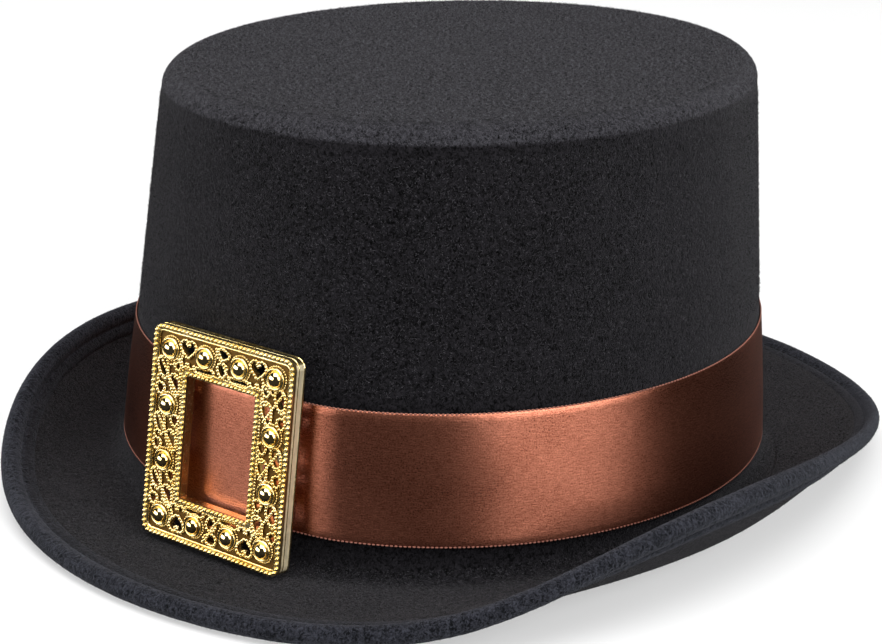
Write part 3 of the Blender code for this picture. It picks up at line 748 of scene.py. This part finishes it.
def stitch_row(name, centres, along, outward, half_length, rows, node):
    """Short threads laid end to end: small balls drawn out along the seam."""
    axes = frames(along, outward) * np.array([half_length, 0.00020, 0.00020])[None, :, None]
    return finish_piece(copies(name, ball(8, rows), centres, axes), black_thread, "thread", node)


def seam_stitches(name, side, node):
    """One short slanted stitch after another along the bottom of the groove."""
    path = fine_brim.at(SEAM, side * 0.00150)
    path = np.concatenate([path, path[:1]])
    centres, along = evenly(path, STITCH)
    lifted = fine_brim.at(SEAM, side * 0.00265)
    above, _ = evenly(np.concatenate([lifted, lifted[:1]]), STITCH, len(centres))
    stitch_row(name, centres, along, unit(above - centres), 0.00115, 6, node)


seam_stitches("hem_stitches_top", 1.0, "binding_seam_top")
seam_stitches("hem_stitches_under", -1.0, "binding_seam_under")


# --- satin band


def band_path(turn):
    """How far the ribbon stands off the felt: pinched down beside the buckle, rising softly away from it, close all
    round, then stepping out over its own first end."""
    degrees = np.degrees(turn)
    lap = np.clip((degrees - 336.0) / 12.0, 0.0, 1.0)
    lap = lap * lap * (3.0 - 2.0 * lap)
    rise = np.clip((degrees - 9.5) / 11.0, 0.0, 1.0)
    fall = np.clip((degrees - 22.0) / 50.0, 0.0, 1.0)
    pinch = rise * rise * (3.0 - 2.0 * rise) * (1.0 - fall * fall * (3.0 - 2.0 * fall))
    return 0.00032 + 0.0008 * lap + 0.0014 * pinch


def band_surface(turn, share):
    """Ribbon face: share runs from the lower edge to the upper one; it bellies and wavers very slightly."""
    height = BAND_LOW + (BAND_HIGH - BAND_LOW) * share
    belly = 0.00022 * np.sin(math.pi * share)
    waver = 0.00010 * np.sin(math.pi * share) * ripple(turn + 0.5 * share, 41, (4, 7, 12, 19))
    return height, band_path(turn) + belly + waver


def satin_band():
    """The ribbon: an outer and an inner face of level rows along the crown wall, thinned and closed at its edges."""
    turn = np.radians(np.linspace(BAND_START, BAND_END, 800))
    shares = np.concatenate([[1.0, 0.993], np.linspace(0.985, 0.015, 22), [0.007, 0.0]])
    outer, inner, uv = [], [], []
    middle = wall(turn, (BAND_LOW + BAND_HIGH) / 2, 0.0005)
    arc = np.concatenate([[0.0], np.cumsum(np.linalg.norm(np.diff(middle, axis=0), axis=1))])
    for share in shares:
        height, out = band_surface(turn, share)
        edge = min(1.0, 40.0 * min(share, 1.0 - share) + 0.45)
        outer.append(wall(turn, height, out + BAND_THICK * edge))
        inner.append(wall(turn, height, out))
        uv.append(np.stack([arc, np.full_like(arc, share * (BAND_HIGH - BAND_LOW))], -1))
    grid = np.concatenate([np.stack(outer), np.stack(inner[::-1])])
    flat_uv = np.concatenate([np.stack(uv), np.stack(uv[::-1])])
    rows, columns = grid.shape[:2]
    faces = [grid_faces(rows, columns, False, True)] + side_strips(rows, columns)
    flat = flat_uv.reshape(-1, 2)
    corner_uv = np.concatenate([flat[block].reshape(-1, 2) for block in faces])
    obj = build("satin_band", grid.reshape(-1, 3), faces, corner_uv=corner_uv)
    return obj, float(arc[-1])


satin_ribbon, ribbon_length = satin_band()
finish_piece(satin_ribbon, satin, "satin", "hatband")


PICOT_PITCH = 0.00125
PICOT_SIZE = (0.00052, 0.00030, 0.00024)


def picot_edges():
    """Rows of tiny thread loops along both edges of the ribbon."""
    turn = np.radians(np.linspace(BAND_START, BAND_END, 2400))
    centres, axes = [], []
    for height in (BAND_HIGH, BAND_LOW):
        spots, along = evenly(wall(turn, height, band_path(turn) + 0.00022), PICOT_PITCH)
        outward = unit(spots * (1.0, 1.0, 0.0) - (0.0, WALL_MID_Y, 0.0))
        centres.append(spots)
        axes.append(frames(along, outward) * np.array(PICOT_SIZE)[None, :, None])
    centres, axes = np.concatenate(centres), np.concatenate(axes)
    return copies("satin_picots", ball(8, 4), centres, axes)


picots = finish_piece(picot_edges(), picot_thread, "satin")


# --- buckle

def on_buckle(points):
    """From the buckle's own plane (across, up, out) to the hat."""
    return np.asarray(points, float) @ BUCKLE_TURN.T + BUCKLE_ORIGIN


def rounded_frame(half_x, half_y, radius, level, steps=10):
    """A closed rectangle with round corners, at one level."""
    points = []
    for quarter, (sx, sy) in enumerate(((1, 1), (-1, 1), (-1, -1), (1, -1))):
        bend = math.pi / 2 * (quarter + np.linspace(0.0, 1.0, steps))
        x = sx * (half_x - radius) + radius * np.cos(bend)
        y = sy * (half_y - radius) + radius * np.sin(bend)
        points.append(np.stack([x, y, np.full(steps, level)], -1))
    return np.concatenate(points)


def beads_along(path, pitch, size, closed=True):
    """Centres and axes of beads set in a row along a path in the buckle's plane."""
    if closed:
        path = np.concatenate([path, path[:1]])
    centres, along = evenly(path, pitch)
    return centres, size * frames(along, np.broadcast_to((0.0, 0.0, 1.0), centres.shape))


def stud_places():
    """The middles of the twelve studs: four on each end bar and two on each side bar."""
    ends = [(x, y) for y in (STUD_Y[0], STUD_Y[-1]) for x in STUD_X]
    sides = [(x, y) for x in (STUD_X[0], STUD_X[-1]) for y in STUD_Y[1:-1]]
    return ends + sides


def turned_line(at, along, across, turn):
    """A line given along and across a heading, set at a place in the buckle's plane."""
    x = at[0] + along * math.cos(turn) - across * math.sin(turn)
    y = at[1] + along * math.sin(turn) + across * math.cos(turn)
    return np.stack([x, y], -1)


def drop_line(at, length, width, turn):
    """A drop: an ellipse whose width swells towards one end."""
    a = TAU * np.arange(60) / 60
    return turned_line(at, length / 2 * np.cos(a), width / 2 * np.sin(a) * (1.0 + 0.45 * np.cos(a)), turn)


def heart_line(at, width, turn):
    """A heart with its point along turn: x = 16 sin^3, y = 13 cos - 5 cos 2 - 2 cos 3 - cos 4, scaled to width."""
    a = TAU * (np.arange(60) + 0.5) / 60
    across = 16.0 * np.sin(a) ** 3
    along = 5.0 * np.cos(2 * a) + 2.0 * np.cos(3 * a) + np.cos(4 * a) - 13.0 * np.cos(a)
    return turned_line(at, along * width / 32, across * width / 32, turn)


def grown(line, out):
    """A closed line moved outwards by out, square to itself."""
    way = unit(np.roll(line, -1, axis=0) - np.roll(line, 1, axis=0))
    area = np.sum(line[:, 0] * np.roll(line[:, 1], -1) - line[:, 1] * np.roll(line[:, 0], -1))
    return line + math.copysign(out, area) * np.stack([way[:, 1], -way[:, 0]], -1)


def stud_spans():
    """Spaces between neighbouring studs: middle, way along the bar, way out to the border, spacing."""
    spans = []
    for sign in (-1.0, 1.0):
        for low, high in zip(STUD_X, STUD_X[1:]):
            spans.append((np.array([(low + high) / 2, sign * STUD_Y[-1]]), (1.0, 0.0), (0.0, sign), high - low))
        for low, high in zip(STUD_Y, STUD_Y[1:]):
            spans.append((np.array([sign * STUD_X[-1], (low + high) / 2]), (0.0, 1.0), (sign, 0.0), high - low))
    return [(middle, np.array(along), np.array(out), spacing) for middle, along, out, spacing in spans]


def pierced_lines():
    """The outlines of the frame's openings: hearts, drops and slots."""
    lines = []
    for middle, along, out, spacing in stud_spans():
        outward = math.atan2(out[1], out[0])
        if spacing < 0.015 and abs(middle[0]) > 0.001:
            lines.append(heart_line(middle + 0.0012 * out, 0.0046, outward + math.pi))
        elif spacing < 0.015:
            lines.append(drop_line(middle + 0.0023 * out, 0.0034, 0.0020, outward + math.pi / 2))
            lines.append(drop_line(middle - 0.0022 * out, 0.0030, 0.0022, outward))
        else:
            way = math.atan2(along[1], along[0])
            for side in (-1.0, 1.0):
                lines.append(drop_line(middle + side * (0.0021 * along + 0.0023 * out), 0.0054, 0.0023, way + 0.25))
                lines.append(drop_line(middle + side * (0.0040 * along - 0.0030 * out), 0.0021, 0.0017, way))
    for x in STUD_X[1:-1]:
        for sign in (-1.0, 1.0):
            lines.append(drop_line((x, sign * (STUD_Y[-1] - 0.0041)), 0.0060, 0.0011, 0.0))
    return lines


def curl_line(centre, along, out, start, end):
    """An arc about a centre: cos of the turn along, sin of it inwards, from start to end in half turns."""
    turn = np.linspace(start * math.pi, end * math.pi, 30)[:, None]
    return centre + (np.cos(turn) * along - np.sin(turn) * out)


def rope_lines():
    """Where beaded ropes run: round every opening, and in each long space an S between its drops."""
    ropes = [(grown(line, 0.00058), True) for line in pierced_lines()]
    for middle, along, out, spacing in stud_spans():
        t = np.linspace(-1.0, 1.0, 50)[:, None]
        if spacing > 0.015:
            bow = 0.0034 * np.sin(math.pi / 2 * t) - 0.0006 * np.sin(math.pi * t)
            ropes.append((middle - 0.0052 * t * along - bow * out, False))
            for side in (-1.0, 1.0):
                centre = middle + side * (0.0012 * along - 0.0030 * out)
                ropes.append((curl_line(centre, side * 0.0012 * along, side * 0.0012 * out, 0.0, 1.35), False))
        elif abs(middle[0]) > 0.001:
            for side in (-1.0, 1.0):
                centre = middle + side * 0.0014 * along - 0.0034 * out
                ropes.append((curl_line(centre, 0.0011 * side * along, 0.0011 * out, -0.15, 1.2), False))
        else:
            bow = 0.0036 * np.sin(math.pi / 2 * t)
            ropes.append((middle + 0.0030 * t * along - bow * out, False))
    for x in (STUD_X[0], STUD_X[-1]):
        for y in (STUD_Y[0], STUD_Y[-1]):
            inward = -np.sign([x, y])
            curl = np.linspace(-0.25 * math.pi, 0.25 * math.pi, 20)[:, None] + math.atan2(inward[1], inward[0])
            ropes.append((np.array([x, y]) + 0.0047 * np.concatenate([np.cos(curl), np.sin(curl)], 1), False))
    return ropes


def raised(line, level):
    """A line of the buckle's plane, lifted to one level."""
    return np.concatenate([line, np.full((len(line), 1), level)], 1)


def ring_line(x, y, radius, level):
    """A circle round (x, y) in the buckle's plane, at one level."""
    turn = TAU * np.arange(40) / 40
    return np.stack([x + radius * np.cos(turn), y + radius * np.sin(turn), np.full(40, level)], -1)


def openwork_lace():
    """All the beadwork of the face: borders, ropes round the openings and a fine ring of grains round each collar."""
    bx, by = BUCKLE_HALF
    wx, wy = WINDOW_HALF
    rows = [
        beads_along(rounded_frame(bx - 0.00062, by - 0.00062, 0.0025, 0.00095), 0.00150, 0.00056),
        beads_along(rounded_frame(wx + 0.00066, wy + 0.00066, 0.0010, 0.00080), 0.00150, 0.00052),
        beads_along(rounded_frame(wx + 0.00190, wy + 0.00190, 0.0014, 0.00022), 0.00090, 0.00040),
    ]
    for line, closed in rope_lines():
        rows.append(beads_along(raised(line, 0.00042), 0.00096, 0.00054, closed))
    for x, y in stud_places():
        rows.append(beads_along(ring_line(x, y, 0.00352, 0.00018), 0.00080, 0.00036))
    centres = np.concatenate([row[0] for row in rows])
    axes = np.concatenate([row[1] for row in rows])
    return copies("buckle_beadwork", ball(10, 6), on_buckle(centres), axes @ BUCKLE_TURN.T)


finish_piece(openwork_lace(), gilt, "gilt_metal")


def face_mouldings():
    """Smooth raised lines: a fillet in the outer border, soft back edges, a wire under each rope, the collars."""
    bx, by = BUCKLE_HALF
    parts = [
        tube(rounded_frame(bx - 0.00172, by - 0.00172, 0.0016, 0.00030), 0.00034, 8),
        tube(rounded_frame(bx - 0.00022, by - 0.00022, 0.0029, -0.00370), 0.00042, 8),
        tube(rounded_frame(bx - 0.00004, by - 0.00004, 0.0030, -0.00130), 0.00018, 8),
    ]
    for line, closed in rope_lines():
        parts.append(tube(raised(line, 0.00010), 0.00036, 6, closed=closed))
    for x, y in stud_places():
        for radius, size, level in ((0.00283, 0.00036, 0.00092), (0.00245, 0.00020, 0.00070)):
            parts.append(tube(ring_line(x, y, radius, level), size, 10))
    points, faces = joined(parts)
    return build("buckle_mouldings", on_buckle(points), faces)


finish_piece(face_mouldings(), gilt, "gilt_metal")


DOME = 0.00232


def domed_studs():
    """Polished domes: an ellipse turned about its axis, flat underneath."""
    bend = np.linspace(0.06, math.pi / 2, 14)
    radius = np.concatenate([DOME * np.sin(bend), [DOME, 0.0012]])
    level = np.concatenate([0.0007 + 0.0020 * np.cos(bend), [0.0003, 0.0003]])
    turn = TAU * np.arange(32) / 32
    rings = np.stack(
        [radius[:, None] * np.cos(turn), radius[:, None] * np.sin(turn), np.repeat(level[:, None], 32, 1)], -1
    )
    rows = len(radius)
    points = np.concatenate([rings.reshape(-1, 3), [[0, 0, 0.0027], [0, 0, 0.0003]]])
    faces = [grid_faces(rows, 32)] + cap_faces(rows, 32)
    return build("buckle_domes", *joined([(on_buckle(points + (x, y, 0.0)), faces) for x, y in stud_places()]))


finish_piece(domed_studs(), polish, "gilt_metal", *[f"buckle_stud_{number:02d}" for number in range(1, 13)])


# --- inside the crown


LINING_LOW = 0.0160
PLEATS = 72


def lining_row(turn, share, depth):
    """One level of the side lining: fine pleats that fade towards the opening, and a slow waver."""
    height = LINING_LOW + (TIP_Z - TIP_EDGE - LINING_LOW) * share
    pleat = 0.00028 * share**2 * np.sin(PLEATS * turn) + 0.00012 * ripple(turn + share, 51, (5, 9, 14))
    return wall(turn, height, -FELT - depth + pleat * 0.8)


def dressed_inside():
    """Side lining, tip lining, sweatband with its roll and its line of stitches."""
    turn = TAU * np.arange(576) / 576
    rows = [lining_row(turn, share, 0.00085) for share in np.linspace(1.0, 0.0, 12)]
    inner = [lining_row(turn, share, 0.00120) for share in np.linspace(0.0, 1.0, 12)]
    side = turned_skin("lining_wall", rows + inner, wrap_rows=True)
    finish_piece(side, lining, "lining_cloth", "lining_side")

    shares = np.linspace(0.02, 1.0, 14)
    top = TIP_Z - FELT - 0.0004
    upper = [tip(turn, top, share * 0.985) for share in shares]
    lower = []
    for share in shares[::-1]:
        pleat = 0.00020 * share**2 * np.sin(PLEATS * turn) - 0.00035
        lower.append(tip(turn, top - 0.0004 + pleat, share * 0.985))
    centre = ((0.0, middle_y, top), (0.0, middle_y, top - 0.00075))
    cap = turned_skin("lining_crown", upper + lower, centre)
    finish_piece(cap, lining, "lining_cloth", "lining_tip")

    face, back = [], []
    low, high = 0.0078, 0.0370
    outer = -FELT - 0.0014
    for share in np.linspace(0.0, 1.0, 15):
        height = low + (high - low) * share
        curl = 0.0006 * math.exp(-(((height - low) / 0.0016) ** 2))
        crease = 0.00010 * ripple(turn + 6.0 * share, 61, (9, 16, 27, 44), 0.8)
        face.append(wall(turn, height, outer - 0.0010 - curl + crease))
        back.append(wall(turn, height, outer - 0.00002))
    band = turned_skin("sweatband_strip", back[::-1] + face, wrap_rows=True)
    finish_piece(band, leather, "sweatband_leather", "sweatband")

    reed = wall(turn, 0.0088, outer - 0.0006)
    roll = build("sweatband_roll", *tube(reed, 0.00098, 10))
    finish_piece(roll, leather, "sweatband_leather", "sweatband_reed")

    path = wall(turn, 0.0130, outer - 0.00112)
    centres, along = evenly(np.concatenate([path, path[:1]]), 0.0028)
    outward = unit(centres * (1.0, 1.0, 0.0) - (0.0, WALL_MID_Y, 0.0))
    stitch_row("sweatband_stitches", centres, along, outward, 0.00105, 4, "sweatband_seam")


dressed_inside()


def rear_bow():
    """A flat bow of narrow ribbon: two pinched lobes either side of a knot."""
    back = wall(np.array([math.pi]), 0.0190, -FELT - 0.0034)[0]
    rows = []
    across = np.linspace(-0.0075, 0.0075, 41)
    spread = 0.0011 + 0.0032 * np.abs(np.sin(math.pi * np.abs(across) / 0.0075 * 0.5)) ** 0.8
    puff = 0.0007 * np.sin(math.pi * np.clip(np.abs(across) / 0.0075, 0.0, 1.0)) + 0.0003
    for bend in TAU * np.arange(16) / 16:
        height = spread * math.cos(bend)
        depth = puff * math.sin(bend)
        rows.append(np.stack([across, depth, height], -1))
    grid = np.stack(rows)
    points = np.concatenate([grid.reshape(-1, 3), [[across[0], 0, 0], [across[-1], 0, 0]]])
    faces = [grid_faces(16, 41, False, True)] + end_fans(16, 41)
    knot_points, knot_faces = ball(12, 8)
    knot = (knot_points * (0.0013, 0.0011, 0.0015), knot_faces)
    shape, blocks = joined([(points, faces), knot])
    return build("rear_bow", shape + back, blocks)


bow = finish_piece(rear_bow(), black_thread, "satin", "sweatband_bow")


def rear_tab():
    """A blank woven tab with a turned border, curved to the sweatband."""
    u = np.linspace(-0.0108, 0.0108, 40)
    v = np.linspace(0.0050, -0.0050, 20)
    border = np.minimum(0.0108 - np.abs(u)[None, :], 0.0050 - np.abs(v)[:, None])
    rise = 0.00016 * np.exp(-(((border - 0.0006) / 0.0003) ** 2))
    turn = math.pi - u / (WALL_Y * 0.93)
    front, rear = [], []
    for index, height in enumerate(0.0295 + v):
        front.append(wall(turn, height, -FELT - 0.0030 - rise[index]))
        rear.append(wall(turn, height, -FELT - 0.0026))
    grid = np.concatenate([np.stack(front), np.stack(rear[::-1])])
    rows, columns = grid.shape[:2]
    faces = [grid_faces(rows, columns, False, True)] + side_strips(rows, columns)
    return build("rear_tab", grid.reshape(-1, 3), faces)


finish_piece(rear_tab(), label_cloth, "label_cloth", "size_tab")


# --- finishes of the CAD pieces that stay

for node, material in {
    "buckle_frame": cast_gilt,
    "brim_wire": wire_steel,
    "buckle_pad_left": adhesive,
    "buckle_pad_right": adhesive,
}.items():
    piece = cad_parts[node]
    piece.data.materials.clear()
    piece.data.materials.append(material)


# --- studio


FLOOR_GLOW = 0.45
SKY_GLOW = 0.035
LENS_MM = 83.6


def studio():
    """A pale paper floor, a faint sky and five soft lights, each given by its turn, height, distance and size."""
    bpy.ops.mesh.primitive_plane_add(size=8.0, location=(0.0, 0.0, -0.0006))
    floor = bpy.context.active_object
    floor.name = "studio_floor"
    paper = Finish(
        "studio_paper",
        Base_Color=rgb(0.40, 0.40, 0.40),
        Roughness=0.9,
        Emission_Color=rgb(1.0, 1.0, 1.0),
        Emission_Strength=FLOOR_GLOW,
    )
    floor.data.materials.append(paper.material)
    floor.visible_glossy = False

    world = bpy.data.worlds.new("studio")
    world.use_nodes = True
    sky = world.node_tree.nodes["Background"].inputs
    sky["Color"].default_value = rgb(1.0, 1.0, 1.0)
    sky["Strength"].default_value = SKY_GLOW
    bpy.context.scene.world = world

    target = Vector((0.0, 0.0, 0.06))
    for name, azimuth, elevation, distance, size, power in (
        ("overhead", 28.0, 75.0, 2.40, (2.6, 2.2), 84.0),
        ("left_key", -33.0, 13.0, 1.25, (1.30, 0.56), 12.8),
        ("right_soft", 82.0, 24.0, 1.20, (0.94, 0.8), 13.5),
        ("right_rim", 176.0, 20.0, 1.30, (0.40, 0.5), 2.0),
        ("left_rim", -135.0, 22.0, 1.30, (0.40, 0.5), 2.4),
    ):
        light = bpy.data.lights.new(name, "AREA")
        light.shape = "RECTANGLE"
        light.size, light.size_y = size
        light.energy = power
        lamp = bpy.data.objects.new(name, light)
        bpy.context.scene.collection.objects.link(lamp)
        a, e = math.radians(azimuth), math.radians(elevation)
        way = Vector((math.sin(a) * math.cos(e), -math.cos(a) * math.cos(e), math.sin(e)))
        lamp.location = target + distance * way
        lamp.rotation_euler = way.to_track_quat("Z", "Y").to_euler()


studio()


def camera():
    """A long lens, a little above the hat and to its left front."""
    lens = bpy.data.cameras.new("camera")
    lens.sensor_width = 36.0
    lens.lens = LENS_MM
    eye = bpy.data.objects.new("camera", lens)
    bpy.context.scene.collection.objects.link(eye)
    right = Vector((0.80820467, 0.58837416, 0.02492118))
    up = Vector((-0.21187307, 0.2510283, 0.94450759))
    back = Vector((0.54946794, -0.76863557, 0.32754289))
    turn = Matrix((right, up, back)).transposed().to_4x4()
    eye.matrix_world = Matrix.Translation((0.3558, -0.5093, 0.2572)) @ turn
    bpy.context.scene.camera = eye


camera()
bpy.context.scene.view_settings.view_transform = "Standard"
